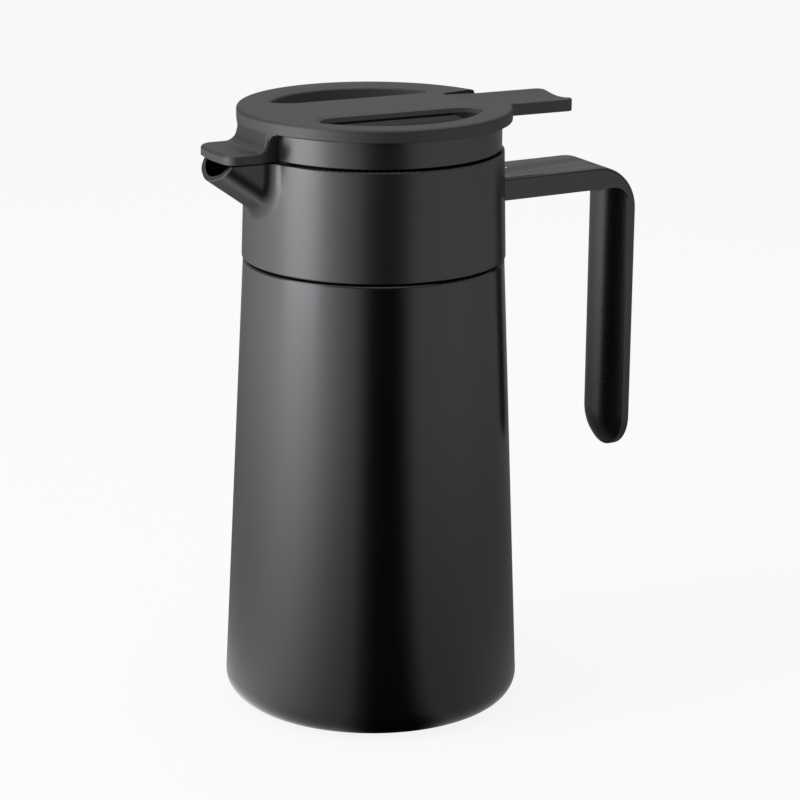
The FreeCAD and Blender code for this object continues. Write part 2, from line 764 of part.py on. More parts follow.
def stopper_gasket():
    low = stopper_gasket_z()
    high = low + STOPPER_GASKET_HEIGHT
    inner = STOPPER_RADIUS + GASKET_CLEARANCE
    outer = MOUTH_RADIUS - GASKET_CLEARANCE
    waist = (inner + outer) / 2
    return lathe([
        (inner, low),
        (outer, low, GASKET_ROUNDING),
        (outer, low + STOPPER_GASKET_HEIGHT / 3, GASKET_GROOVE_ROUNDING),
        (waist, low + STOPPER_GASKET_HEIGHT / 2, GASKET_GROOVE_ROUNDING),
        (outer, high - STOPPER_GASKET_HEIGHT / 3, GASKET_GROOVE_ROUNDING),
        (outer, high, GASKET_ROUNDING),
        (inner, high),
    ])


def barb_z():
    """Bottom of the snap barbs on the cover's spigot."""
    return COVER_Z - SPIGOT_DEPTH


def barb(grow):
    """One snap barb at angle zero, or with grow its recess in the ring."""
    half = BARB_WIDTH / 2 + grow
    low = barb_z() - grow
    high = barb_z() + BARB_HEIGHT + grow
    reach = RING_INNER + BARB_REACH + grow
    return box(SPIGOT_RADIUS - SPIGOT_WALL / 2, reach + 1, -half, half, low, high).common(
        cylinder(reach, low, high))


def lever_plan(grow, z0, z1):
    """Plan of the lever, or with grow its notch in the lid."""
    start = LEVER_START - grow
    neck = LEVER_NECK_HALF + grow
    half = LEVER_HALF + grow
    end = LEVER_REACH + grow
    return plate([
        (start, -neck),
        (LEVER_FLARE_X, -half, LEVER_FLARE_ROUNDING),
        (end, -half, LEVER_CORNER),
        (end, half, LEVER_CORNER),
        (LEVER_FLARE_X, half, LEVER_FLARE_ROUNDING),
        (start, neck),
    ], z0, z1)


def pin_notch_half():
    """Half-width of the lever's notch at its pin."""
    share = (PIN_X + BARREL_RADIUS - LEVER_START) / (LEVER_FLARE_X - LEVER_START)
    return LEVER_NECK_HALF + (LEVER_HALF - LEVER_NECK_HALF) * share + LEVER_CLEARANCE


def lid_body():
    plug_inner = PLUG_RADIUS - PLUG_WALL
    bore = STEM_RADIUS + STEM_PLAY
    body = lathe([
        (bore, BOSS_Z),
        (BOSS_RADIUS, BOSS_Z),
        (BOSS_RADIUS, LID_Z),
        (plug_inner, LID_Z, PLUG_ROUNDING),
        (plug_inner, PLUG_Z),
        (PLUG_RADIUS, PLUG_Z),
        (PLUG_RADIUS, LID_Z),
        (RING_RADIUS, LID_Z, RING_ROUNDING),
        (RING_RADIUS, COVER_Z),
        (RING_INNER, COVER_Z),
        (RING_INNER, DECK_TOP, DECK_ROUNDING),
        (STEM_SEAL_RADIUS, DECK_TOP),
        (STEM_SEAL_RADIUS, DECK_TOP - STEM_SEAL_HEIGHT),
        (bore, DECK_TOP - STEM_SEAL_HEIGHT),
    ])
    outer = BOWL_RADIUS - LUG_SIDE_PLAY
    lugs = [helical_lug(PLUG_RADIUS - LUG_ROOT, outer, lid_lug_z(), a) for a in lug_angles()]
    body = fuse([body] + lugs)
    port_top = LID_Z - PORT_HEADROOM
    port = box(-RING_RADIUS, -BOSS_RADIUS * 2, -PORT_HALF, PORT_HALF, PLUG_Z + PORT_SILL, port_top)
    front = block_wedge(BLOCK_CLEARANCE, LID_Z - 1, COVER_Z + 1).cut(cylinder(RING_INNER, 0, FAR))
    rear = lever_plan(LEVER_CLEARANCE, COVER_Z - LEVER_NOTCH_DEPTH, FAR)
    rear = rear.common(box(PIN_X, FAR, -FAR, FAR, 0, FAR))
    body = body.cut(port).cut(front).cut(rear)
    for angle in BARB_ANGLES:
        body = body.cut(turned(barb(BARB_CLEARANCE), angle))
    return body


def pocket_outline(grow, z):
    """D-shaped outline of a finger pocket on the +Y side, grown outwards by a wall."""
    chord = BAR_HALF - grow
    radius = POCKET_RADIUS + grow
    corner = POCKET_CORNER + grow
    cy = chord + corner
    cx = math.sqrt((radius - corner) ** 2 - cy ** 2)
    tangent = math.atan2(cy, cx)
    middle = (tangent - math.pi / 2) / 2

    def mirrored(x, y, side):
        return V(side * x, y, z)

    def corner_arc(side):
        return Part.Arc(mirrored(cx, chord, side),
                        mirrored(cx + corner * math.cos(middle), cy + corner * math.sin(middle), side),
                        mirrored(radius * math.cos(tangent), radius * math.sin(tangent), side))

    right = corner_arc(1)
    left = corner_arc(-1)
    ends = (mirrored(radius * math.cos(tangent), radius * math.sin(tangent), 1),
            mirrored(radius * math.cos(tangent), radius * math.sin(tangent), -1))
    outer = Part.Arc(ends[0], V(0, radius, z), ends[1])
    inner = Part.LineSegment(mirrored(cx, chord, -1), mirrored(cx, chord, 1))
    return Part.Wire(Part.__sortEdges__([e.toShape() for e in (inner, right, outer, left)]))


def pocket_depths(grow):
    """Space above the brow and floor and beside the bar's flank, sunk by grow."""
    top = TOP_Z + POCKET_ROUNDING
    wall = math.radians(POCKET_DRAFT)
    brow = math.atan2(BROW_DROP, BROW_INSET)
    shift = grow / math.cos((wall - brow) / 2)
    edge_radius = POCKET_RADIUS - BROW_INSET + shift * math.sin((wall + brow) / 2)
    edge = TOP_Z - BROW_DROP - shift * math.cos((wall + brow) / 2)
    bowl = lathe([
        (0, edge - edge_radius * math.tan(wall)),
        (edge_radius, edge, BROW_ROUNDING + grow),
        (POCKET_RADIUS + 2 * grow, TOP_Z - grow),
        (POCKET_RADIUS + 2 * grow, top),
        (0, top),
    ])
    foot = BAR_HALF - grow
    outline = [
        (0, top),
        (0, flank_top() - grow),
        (foot, flank_top() - grow),
        (foot + FLANK_RUN, TOP_Z - POCKET_DEPTH - grow),
        (RIM_RADIUS, TOP_Z - POCKET_DEPTH - grow),
        (RIM_RADIUS, top),
    ]
    section = Part.Face(rounded_wire(corners_of(outline, lambda y, z: V(-RIM_RADIUS, y, z))))
    return bowl.common(section.extrude(V(2 * RIM_RADIUS, 0, 0)))


def flank_top():
    """Foot of the shadow groove along the bar."""
    return TOP_Z - BAR_EDGE - BAR_GROOVE


def bar_groove():
    """Shadow groove along the +Y side of the bar, as long as its straight edge."""
    corner_y = BAR_HALF + POCKET_CORNER
    half = math.sqrt((POCKET_RADIUS - POCKET_CORNER) ** 2 - corner_y ** 2)
    inner = BAR_HALF - BAR_GROOVE_DEPTH
    return box(-half, half, inner, BAR_HALF + BAR_GROOVE_DEPTH, flank_top(), TOP_Z - BAR_EDGE)


def pocket_cup():
    """Outside of the moulded cup under the +Y pocket."""
    low = TOP_Z - POCKET_DEPTH - POCKET_WALL
    prism = Part.Face(pocket_outline(POCKET_WALL, low)).extrude(V(0, 0, POCKET_DEPTH))
    return prism.common(pocket_depths(POCKET_WALL))


def pocket():
    """Space of the +Y pocket, with a rounded edge towards the bar."""
    low = TOP_Z - POCKET_DEPTH
    edge = POCKET_ROUNDING
    prism = Part.Face(pocket_outline(0, low)).extrude(V(0, 0, POCKET_DEPTH + edge))
    bend = edge * (1 - math.sqrt(0.5))
    rims = [pocket_outline(0, TOP_Z - edge), pocket_outline(bend, TOP_Z - bend), pocket_outline(edge, TOP_Z),
            pocket_outline(edge, TOP_Z + edge)]
    return fuse([prism, Part.makeLoft(rims, True, True)]).common(pocket_depths(0))


def both_sides(shape):
    """A shape and its mirror image across the plane of the spout and handle."""
    return [shape, shape.mirror(ORIGIN, V(0, 1, 0))]


def block_wedge(grow, z0, z1):
    """Sector of the front block, or with grow its notch in the ring."""
    slope = math.radians(BLOCK_ANGLE)
    apex = grow / math.sin(slope)
    half = (FAR + apex) * math.tan(slope)
    return plate([(apex, 0), (-FAR, half), (-FAR, -half)], z0, z1)


def arch_corner():
    """Concave corner between the front block and the underside of the rim, on the +Y side."""
    low = COVER_Z - ARCH_RADIUS
    corner = box(-RIM_RADIUS, 0, -1, ARCH_RADIUS, low, COVER_Z + 1)
    corner = corner.cut(Part.makeCylinder(ARCH_RADIUS, FAR, V(-FAR / 2, ARCH_RADIUS, low), V(1, 0, 0)))
    ring_gap = RING_RADIUS + BLOCK_CLEARANCE
    return turned(corner, -BLOCK_ANGLE).common(tube(ring_gap, RIM_RADIUS, low, COVER_Z + 1))


def front_block():
    """Front of the cover: it closes the ring and runs out into the flap over the spout."""
    flap_top = LID_Z + FLAP_THICKNESS
    foot = RIM_RADIUS + BLOCK_FLARE
    bend = -FLAP_HALF / math.tan(math.radians(BLOCK_ANGLE))
    corner = FLAP_BOW - FLAP_REACH
    plan = plate([
        (0, 0),
        (bend, FLAP_HALF, BLOCK_BEND),
        (corner, FLAP_HALF, FLAP_CORNER),
        (-FLAP_REACH, 0, FLAP_BOW_ROUNDING),
        (corner, -FLAP_HALF, FLAP_CORNER),
        (bend, -FLAP_HALF, BLOCK_BEND),
    ], LID_Z, COVER_Z)
    front = lathe([
        (0, LID_Z),
        (FAR, LID_Z),
        (FAR, flap_top),
        (foot, flap_top, FLAP_FILLET),
        (RIM_RADIUS, COVER_Z),
        (0, COVER_Z),
    ])
    body = plan.common(front)

    def brim(p):
        on_front = near(p.z, flap_top) and p.x < -foot - FLAP_FILLET
        return on_front or (abs(p.y) > FLAP_HALF / 2 and LID_Z < p.z < COVER_Z)

    edges = [e for e in edges_where(body, brim) if not near(e.BoundBox.ZLength, e.Length)]
    body = body.makeFillet(FLAP_ROUNDING, edges)
    return body.cut(cylinder(RING_INNER + BLOCK_CLEARANCE, 0, FAR))


def rim_infill():
    """Fills the rounding under the rim where the front block runs up into it."""
    high = COVER_Z + RIM_UNDER_ROUNDING
    return block_wedge(0, COVER_Z, high).common(tube(SPIGOT_RADIUS, RIM_RADIUS, COVER_Z, high))


def pin_boss():
    """Boss under the cover that holds one end of the lever's pin, on the +Y side."""
    half = pin_notch_half()
    reach = BARREL_RADIUS
    return box(PIN_X - reach, PIN_X + reach, half, half + PIN_BOSS_WALL, PIN_Z - reach, TOP_Z - COVER_PLATE)


def lid_cover():
    ceiling = TOP_Z - COVER_PLATE
    spigot = SPIGOT_RADIUS - SPIGOT_WALL
    disc = lathe([
        (0, ceiling),
        (spigot, ceiling),
        (spigot, barb_z()),
        (SPIGOT_RADIUS, barb_z()),
        (SPIGOT_RADIUS, COVER_Z),
        (RIM_RADIUS, COVER_Z, RIM_UNDER_ROUNDING),
        (RIM_RADIUS, TOP_Z, RIM_ROUNDING),
        (0, TOP_Z),
    ])
    barbs = [turned(barb(0), a) for a in BARB_ANGLES]
    cups = both_sides(pocket_cup().common(cylinder(SPIGOT_RADIUS, 0, ceiling + COVER_PLATE / 2)))
    front = [front_block(), rim_infill()] + both_sides(arch_corner())
    body = fuse([disc] + front + barbs + cups + both_sides(pin_boss()))
    for space in both_sides(pocket()) + both_sides(bar_groove()):
        body = body.cut(space)
    body = body.cut(lever_plan(LEVER_CLEARANCE, COVER_Z - SPIGOT_DEPTH - 1, FAR))
    return body.cut(cross_rod(PIN_RADIUS + PIN_FIT, PIN_X, PIN_Z, pin_notch_half() + PIN_BOSS_WALL))


def lever_blade():
    """Visible thumb piece of the lever, with a shallow trough along it."""
    top = TOP_Z - LEVER_SINK
    end_top = top - LEVER_FALL
    low = end_top - LEVER_THICKNESS
    body = side_prism([
        (LEVER_START, low),
        (LEVER_REACH, low),
        (LEVER_REACH, end_top),
        (LEVER_KNEE_X, end_top, LEVER_KNEE_ROUNDING),
        (LEVER_START, top),
    ], FAR).common(lever_plan(0, 0, FAR))

    def rim(p):
        return p.z > end_top - 0.01 and (abs(p.y) > LEVER_NECK_HALF / 2 or near(p.x, LEVER_REACH))

    body = body.makeFillet(LEVER_ROUNDING, edges_where(body, rim))
    axis = V(LEVER_FLARE_X, 0, end_top + LEVER_TROUGH_RADIUS - LEVER_TROUGH_DEPTH)
    trough = Part.makeCylinder(LEVER_TROUGH_RADIUS, FAR, axis, V(1, 0, 0))
    crest = Part.makeSphere(LEVER_TROUGH_RADIUS, axis)
    return body.cut(fuse([trough, crest]))


def lever():
    barrel = cross_rod(BARREL_RADIUS, PIN_X, PIN_Z, LEVER_NECK_HALF)
    arm_low = PIN_Z - BARREL_RADIUS
    arm = side_prism([
        (PIN_X, arm_low),
        (PIN_X, arm_low + ARM_THICKNESS * 2),
        (FORK_REACH, FORK_Z + ARM_THICKNESS),
        (FORK_REACH, FORK_Z),
    ], ARM_HALF)
    fork = box(-FORK_REACH, FORK_REACH, -FORK_HALF, FORK_HALF, FORK_Z, FORK_Z + FORK_THICKNESS)
    pad_top = FORK_Z + FORK_THICKNESS + FORK_PAD
    pad = box(-FORK_PAD_HALF, FORK_PAD_HALF, -FORK_HALF, FORK_HALF, FORK_Z, pad_top)
    slot_half = STEM_RADIUS + FORK_SLOT_PLAY
    slot = fuse([box(-FORK_REACH - 1, 0, -slot_half, slot_half, FORK_Z - 1, FORK_Z + ARM_THICKNESS * 2),
                 cylinder(slot_half, FORK_Z - 1, FORK_Z + ARM_THICKNESS * 2)])
    body = fuse([lever_blade(), barrel, arm, fork, pad]).cut(slot)
    return body.cut(cross_rod(PIN_RADIUS + PIN_PLAY, PIN_X, PIN_Z, FAR))


def lever_pin():
    return cross_rod(PIN_RADIUS, PIN_X, PIN_Z, pin_notch_half() + PIN_BOSS_WALL)


def stem_seal():
    return tube(STEM_RADIUS + STEM_PLAY, STEM_SEAL_RADIUS, DECK_TOP - STEM_SEAL_HEIGHT, DECK_TOP)


def valve_stem():
    return cylinder(STEM_RADIUS, VALVE_GASKET_Z - RETAINER_THICKNESS, NUT_Z + NUT_HEIGHT)


def stem_nut():
    hexagon = [V(NUT_SIZE / 2 / math.cos(math.pi / 6), 0, NUT_Z)]
    for corner in range(1, 6):
        point = V(hexagon[0])
        turn = FreeCAD.Rotation(UP, 60 * corner)
        hexagon.append(turn.multVec(point))
    body = Part.Face(Part.makePolygon(hexagon + hexagon[:1])).extrude(V(0, 0, NUT_HEIGHT))
    return body.cut(cylinder(STEM_RADIUS + VALVE_BORE_PLAY, 0, FAR))


def valve_head():
    return tube(STEM_RADIUS + VALVE_BORE_PLAY, VALVE_RADIUS, VALVE_Z, VALVE_TOP)


def valve_gasket():
    return tube(STEM_RADIUS + VALVE_BORE_PLAY, VALVE_GASKET_RADIUS, VALVE_GASKET_Z, VALVE_Z)


def valve_retainer():
    low = VALVE_GASKET_Z - RETAINER_THICKNESS
    return tube(STEM_RADIUS + VALVE_BORE_PLAY, RETAINER_RADIUS, low, VALVE_GASKET_Z)


def biarc(start, start_way, end, end_way):
    """Two tangent arcs that leave start and reach end along the given directions."""
    span = end - start
    ways = start_way + end_way
    a = ways.dot(ways) - 4
    b = span.dot(ways)
    reach = (b - math.sqrt(b * b - a * span.dot(span))) / a
    first = start + start_way * reach
    second = end - end_way * reach
    joint = (first + second) / 2
    arcs = []
    for tail, knee, head in ((start, first, joint), (joint, second, end)):
        middle = (tail + head) / 2
        bend = math.acos((head - tail).Length / 2 / (knee - tail).Length)
        crown = middle + (knee - middle) * (math.tan(bend / 2) / math.tan(bend))
        arcs.append(Part.Arc(tail, crown, head).toShape())
    return arcs


def valve_spring():
    low = VALVE_TOP + SPRING_SEAT_GAP + SPRING_WIRE
    high = BOSS_Z - SPRING_SEAT_GAP - SPRING_WIRE
    pitch = (high - low) / SPRING_TURNS
    climb = pitch / (2 * math.pi)

    def place(turn):
        return V(SPRING_RADIUS * math.cos(turn), SPRING_RADIUS * math.sin(turn), low + climb * turn)

    def heading(turn):
        return V(-SPRING_RADIUS * math.sin(turn), SPRING_RADIUS * math.cos(turn), climb).normalize()

    arcs = []
    quarter = math.pi / 2
    for i in range(4 * SPRING_TURNS):
        here = i * quarter
        arcs += biarc(place(here), heading(here), place(here + quarter), heading(here + quarter))
    path = Part.Wire(arcs)
    ring = Part.Wire([Part.Circle(place(0), heading(0), SPRING_WIRE).toShape()])
    return path.makePipeShell([ring], True, False)


NODES = [
    outer_shell, inner_liner, radiation_foil, shell_base, vacuum_seal, getter, base_pad, neck_ring,
    neck_gasket, collar, handle, handle_screws, stopper_gasket, stopper_cup, lid_body, lid_cover, lever,
    lever_pin, stem_seal, valve_stem, stem_nut, valve_head, valve_gasket, valve_retainer, valve_spring,
]

os.makedirs("parts", exist_ok=True)
for make in NODES:
    shape = make()
    name = make.__name__
    print(name, "solids", len(shape.Solids), "valid", shape.isValid(), "volume", round(shape.Volume, 1))
    shape.exportStep("parts/" + name + ".step")
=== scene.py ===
import json
import math

import bpy
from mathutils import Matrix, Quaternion, Vector


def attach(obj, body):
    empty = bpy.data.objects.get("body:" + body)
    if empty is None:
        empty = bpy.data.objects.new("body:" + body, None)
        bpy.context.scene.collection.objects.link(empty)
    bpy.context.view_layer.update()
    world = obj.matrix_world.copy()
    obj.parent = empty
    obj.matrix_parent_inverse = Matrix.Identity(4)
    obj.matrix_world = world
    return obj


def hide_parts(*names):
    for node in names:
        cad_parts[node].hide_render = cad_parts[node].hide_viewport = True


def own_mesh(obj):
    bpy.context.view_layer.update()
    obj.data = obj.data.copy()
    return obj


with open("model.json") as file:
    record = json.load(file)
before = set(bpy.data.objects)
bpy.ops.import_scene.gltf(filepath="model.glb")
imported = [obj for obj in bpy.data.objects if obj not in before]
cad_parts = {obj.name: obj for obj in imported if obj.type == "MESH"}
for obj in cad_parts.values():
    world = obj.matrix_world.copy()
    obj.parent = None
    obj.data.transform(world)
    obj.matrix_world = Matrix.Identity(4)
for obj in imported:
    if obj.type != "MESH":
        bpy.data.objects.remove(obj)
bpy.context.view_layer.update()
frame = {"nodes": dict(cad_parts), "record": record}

# Camera, from the photograph: metres and degrees, in the carafe's own frame
VIEW_TURN = 27.3  # from the plane of spout and handle
VIEW_TARGET = Vector((0.00849, -0.00438, 0.10732))
VIEW_DISTANCE = 1.029
VIEW_PITCH = 15.845
VIEW_ROLL = 0.557
VIEW_LENS = 132.7
SENSOR_WIDTH = 36.0
CLIP_START = 0.01

# Places on the lid that its painted pocket shade and grain follow
LID_TOP = 0.2115
POCKET_LIP = 0.0004
POCKET_SIDE = 0.0155
POCKET_EDGE = 0.0366
POCKET_FADE = 0.0006

# Grain of moulded and spun surfaces
PLASTIC_GRAIN = 1900
PLASTIC_GRAIN_DEPTH = 0.00001
LID_GRAIN = 2100
LID_GRAIN_DEPTH = 0.00006
SPIN_RINGS = (30, 30, 5200)

# Studio
WHITE = (1, 1, 1, 1)
FLOOR_SIZE = 12.0
FLOOR_PAPER = (0.9, 0.9, 0.9, 1)
FLOOR_ROUGHNESS = 0.9
FLOOR_WHITE = 0.88  # share of plain white that the camera sees, and the rest shows the shadow
SOFTBOX_PLACE = (-0.8, 0.0, 0.42)
SOFTBOX_TARGET = (0, 0, 0.3)
SOFTBOX_WIDTH = 0.5
SOFTBOX_HEIGHT = 0.8
SOFTBOX_POWER = 5.6
TOP_LIGHT_PLACE = (0.1, 0.2, 1.5)
TOP_LIGHT_TARGET = (0, 0, 0.15)
TOP_LIGHT_SIDE = 1.1
TOP_LIGHT_POWER = 4.0
ROOM_LIGHT = 0.42

# What reflections see: walls that brighten upwards, a bright ceiling, and a floor with a painted pool of
# light from the left and a painted dark gap by the camera. Turns are in degrees right of the camera, seen
# from the carafe.
WALL_FOOT = 0.12
WALL_RISE = 0.43
WALL_TOP = math.sin(math.radians(20))
CEILING_RISE = 1.3
CEILING_EDGE = (math.sin(math.radians(38)), math.sin(math.radians(56)))
POOL_TURN = -61.0
POOL_FOCUS = 7.0
POOL_REACH = 0.85
POOL_NEAR = 1.2
POOL_RISE = 2.5
SIDE_TURN = -97.0
SIDE_FOCUS = 6.0
SIDE_NEAR = 0.2
SIDE_RISE = 0.9
GAP_TURN = 11.0
GAP_EDGE = math.radians(26)
GAP_CORE = math.radians(7)
BACK_TURN = 170.0
BACK_START = -0.3
BACK_SHARE = 0.25
FLOOR_NEAR = 0.5
FLOOR_RISE = 0.55


class Field:
    """A value in a finish. Arithmetic on it adds Math nodes."""

    def __init__(self, finish, socket):
        self.finish = finish
        self.socket = socket

    def math(self, operation, first, second):
        return self.finish.node("ShaderNodeMath", {"operation": operation}, {0: first, 1: second})

    def __add__(self, other):
        return self.math("ADD", self, other)

    def __radd__(self, other):
        return self.math("ADD", other, self)

    def __sub__(self, other):
        return self.math("SUBTRACT", self, other)

    def __rsub__(self, other):
        return self.math("SUBTRACT", other, self)

    def __mul__(self, other):
        return self.math("MULTIPLY", self, other)

    def __rmul__(self, other):
        return self.math("MULTIPLY", other, self)


class Finish:
    """The node tree of a material or world, with short calls for the nodes used here."""

    def __init__(self, owner):
        owner.use_nodes = True
        self.owner = owner
        self.tree = owner.node_tree

    def feed(self, socket, value):
        if isinstance(value, Field):
            self.tree.links.new(value.socket, socket)
        else:
            socket.default_value = value

    def node(self, kind, settings, inputs, output=0):
        made = self.tree.nodes.new(kind)
        for key, value in settings.items():
            setattr(made, key, value)
        for key, value in inputs.items():
            self.feed(made.inputs[key], value)
        return Field(self, made.outputs[output])

    def place(self):
        return self.node("ShaderNodeTexCoord", {}, {}, "Object")

    def part(self, vector, axis):
        return self.node("ShaderNodeSeparateXYZ", {}, {0: vector}, axis)

    def vector(self, operation, inputs, output=0):
        return self.node("ShaderNodeVectorMath", {"operation": operation}, inputs, output)

    def ray(self, kind):
        """1 where the ray being traced is of this kind, and 0 elsewhere."""
        return self.node("ShaderNodeLightPath", {}, {}, f"Is {kind} Ray")

    def stretched(self, scale):
        return self.node("ShaderNodeMapping", {}, {"Vector": self.place(), "Scale": scale})

    def noise(self, scale, detail=2.0, roughness=0.5, where=None):
        inputs = {"Scale": scale, "Detail": detail, "Roughness": roughness, "Vector": where or self.place()}
        return self.node("ShaderNodeTexNoise", {}, inputs)

    def span(self, value, low, high, start=0.0, end=1.0):
        """Maps low..high of a value to start..end, smoothly and held at both ends."""
        inputs = {0: value, 1: low, 2: high, 3: start, 4: end}
        return self.node("ShaderNodeMapRange", {"interpolation_type": "SMOOTHSTEP"}, inputs)

    def tint(self, share, first, second):
        return self.node("ShaderNodeMix", {"data_type": "RGBA"}, {0: share, 6: first, 7: second}, 2)

    def bump(self, height, distance, strength):
        inputs = {"Height": height, "Distance": distance, "Strength": strength}
        return self.node("ShaderNodeBump", {}, inputs)


def surface(name, colour, roughness, normal, **fixed):
    """New material. Colour, roughness and normal are functions of its finish, the rest are constants."""
    finish = Finish(bpy.data.materials.new(name))
    shader = finish.tree.nodes["Principled BSDF"]
    finish.feed(shader.inputs["Base Color"], colour(finish))
    finish.feed(shader.inputs["Roughness"], roughness(finish))
    finish.feed(shader.inputs["Normal"], normal(finish))
    for socket, value in fixed.items():
        shader.inputs[socket.replace("_", " ")].default_value = value
    return finish.owner


def grey(level, warmth=0.0):
    return (level * (1 + warmth), level, level * (1 - warmth), 1)


def body_paint():
    """Semi-gloss black paint with a faint orange peel."""
    dark = (0.0018, 0.0018, 0.0024, 1)
    light = (0.0028, 0.0028, 0.0036, 1)
    return surface(
        "body_paint",
        lambda f: f.tint(f.noise(70, detail=4), dark, light),
        lambda f: 0.17 + 0.05 * f.noise(34, detail=3) + 0.03 * f.noise(900),
        lambda f: f.bump(f.noise(650), distance=0.00002, strength=0.35),
        Specular_Tint=(0.94, 0.97, 1.0, 1),
    )


def moulded(name, level, rough, grain, depth):
    """Moulded plastic: spark-eroded grain, slightly uneven sheen and tone."""
    dark = grey(level * 0.82, warmth=-0.02)
    light = grey(level * 1.18, warmth=0.02)
    return surface(
        name,
        lambda f: f.tint(f.noise(55, detail=5, roughness=0.6), dark, light),
        lambda f: rough - 0.045 + 0.06 * f.noise(42, detail=4) + 0.03 * f.noise(grain, detail=1),
        lambda f: f.bump(f.noise(grain, roughness=0.6), distance=depth, strength=0.6),
    )


def pocket_shade_and_grain_mask(f):
    """1 inside the lid's finger pockets, and 0 on the rest of the lid. It places the pockets' painted shade
    and their coarser grain.
    """
    where = f.place()
    side = f.node("ShaderNodeMath", {"operation": "ABSOLUTE"}, {0: f.part(where, "Y")})
    level = f.vector("MULTIPLY", {0: where, 1: (1, 1, 0)})
    reach = f.vector("LENGTH", {0: level}, "Value")
    deep = f.span(f.part(where, "Z"), LID_TOP - 3 * POCKET_LIP, LID_TOP - POCKET_LIP, 1.0, 0.0)
    beside = f.span(side, POCKET_SIDE, POCKET_SIDE + POCKET_FADE)
    return deep * beside * f.span(reach, POCKET_EDGE, POCKET_EDGE + POCKET_FADE, 1.0, 0.0)


def lid_plastic():
    """Lid cover: matte on the disc, with a coarser eroded grain inside the finger pockets, whose colour is
    darkened there as painted shade.
    """

    def colour(f):
        dark = grey(0.0115, warmth=0.03)
        light = grey(0.0165, warmth=0.04)
        plain = f.tint(f.noise(60, detail=5, roughness=0.6), dark, light)
        speck = f.span(f.noise(2300, detail=1), 0.5, 0.72)
        disc = f.tint(speck * 0.35, plain, grey(0.03, warmth=0.06))
        # Painted shade: the pocket floors and walls are coloured darker than the disc.
        painted_pocket_shade = f.tint(speck, grey(0.004, warmth=0.03), grey(0.011, warmth=0.05))
        return f.tint(pocket_shade_and_grain_mask(f), disc, painted_pocket_shade)

    def roughness(f):
        sheen = 0.42 + 0.06 * f.noise(48, detail=4) + 0.07 * f.noise(LID_GRAIN, detail=1)
        return sheen + 0.12 * pocket_shade_and_grain_mask(f)

    def normal(f):
        grain = f.noise(LID_GRAIN, roughness=0.6) * (0.45 + 0.9 * pocket_shade_and_grain_mask(f))
        return f.bump(grain, distance=LID_GRAIN_DEPTH, strength=0.6)

    return surface("lid_plastic", colour, roughness, normal)


def turned_steel(name, level, rough):
    """Spun stainless steel with fine rings around the upright axis."""

    def rings(f):
        return f.noise(1, detail=5, roughness=0.65, where=f.stretched(SPIN_RINGS))

    return surface(
        name,
        lambda f: f.tint(f.noise(18, detail=4), grey(level * 0.88, warmth=0.01), grey(level, warmth=0.02)),
        lambda f: rough + 0.14 * rings(f),
        lambda f: f.bump(rings(f), distance=0.00002, strength=0.4),
        Metallic=1.0,
    )


def bare_steel():
    return surface(
        "bare_steel",
        lambda f: f.tint(f.noise(160, detail=3), grey(0.42), grey(0.56, warmth=0.01)),
        lambda f: 0.24 + 0.12 * f.noise(700, detail=3),
        lambda f: f.bump(f.noise(1500), distance=0.00001, strength=0.3),
        Metallic=1.0,
    )


def foil():
    return surface(
        "foil",
        lambda f: f.tint(f.noise(90, detail=4), grey(0.72), grey(0.86)),
        lambda f: 0.16 + 0.14 * f.noise(120, detail=4),
        lambda f: f.bump(f.noise(110, detail=5, roughness=0.6), distance=0.0004, strength=0.5),
        Metallic=1.0,
    )


def silicone():
    return surface(
        "silicone",
        lambda f: f.tint(f.noise(80, detail=3), grey(0.62, warmth=0.015), grey(0.72, warmth=0.02)),
        lambda f: 0.42 + 0.1 * f.noise(300, detail=3),
        lambda f: f.bump(f.noise(1200), distance=0.00003, strength=0.35),
        Subsurface_Weight=0.15,
    )


def pad_rubber():
    return surface(
        "base_rubber",
        lambda f: f.tint(f.noise(120, detail=5), grey(0.016), grey(0.03, warmth=0.03)),
        lambda f: 0.72 + 0.14 * f.noise(260, detail=3),
        lambda f: f.bump(f.noise(900, detail=3, roughness=0.6), distance=0.00012, strength=0.6),
    )


def assign_finishes():
    """Gives every CAD node the finish of its material slot."""
    plastic = {"rough": 0.28, "grain": PLASTIC_GRAIN, "depth": PLASTIC_GRAIN_DEPTH}
    finishes = {
        "body_paint": body_paint(),
        "liner_steel": turned_steel("liner_steel", level=0.56, rough=0.2),
        "plate_steel": turned_steel("plate_steel", level=0.48, rough=0.3),
        "foil": foil(),
        "collar_plastic": moulded("collar_plastic", level=0.0085, **plastic),
        "handle_plastic": moulded("handle_plastic", level=0.0065, **plastic),
        "lid_plastic": lid_plastic(),
        "inner_plastic": moulded("inner_plastic", level=0.03, rough=0.42, grain=1400, depth=0.00003),
        "base_rubber": pad_rubber(),
        "silicone": silicone(),
        "bare_steel": bare_steel(),
    }
    for part in frame["record"]["subparts"]:
        slots = frame["nodes"][part["node"]].data.materials
        slots.clear()
        slots.append(finishes[part["material_slot"]])


def coil_spring():
    """Stands for the CAD spring, whose mesh it copies with its finish.
    """
    coil = bpy.data.objects.new("spring_coil", frame["nodes"]["valve_spring"].data.copy())
    bpy.context.collection.objects.link(coil)
    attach(coil, "lid")
    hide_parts("valve_spring")
    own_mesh(coil)


def studio_world():
    """White for the camera, graded walls and ceiling for reflections, and a soft even room light."""
    world = bpy.data.worlds.new("studio")
    bpy.context.scene.world = world
    finish = Finish(world)
    seen, shine, through = (finish.ray(kind) for kind in ("Camera", "Glossy", "Transmission"))
    way = finish.node("ShaderNodeTexCoord", {}, {}, "Generated")
    height = finish.part(way, "Z")
    wall = finish.span(height, 0.0, WALL_TOP, WALL_FOOT, WALL_FOOT + WALL_RISE)
    ceiling = finish.span(height, *CEILING_EDGE, 0.0, CEILING_RISE)
    white = seen + through + shine * (wall + ceiling)
    level = white + (1 - seen - through - shine) * ROOM_LIGHT
    room = finish.node("ShaderNodeBackground", {}, {"Color": WHITE, "Strength": level})
    finish.feed(finish.tree.nodes["World Output"].inputs["Surface"], room)


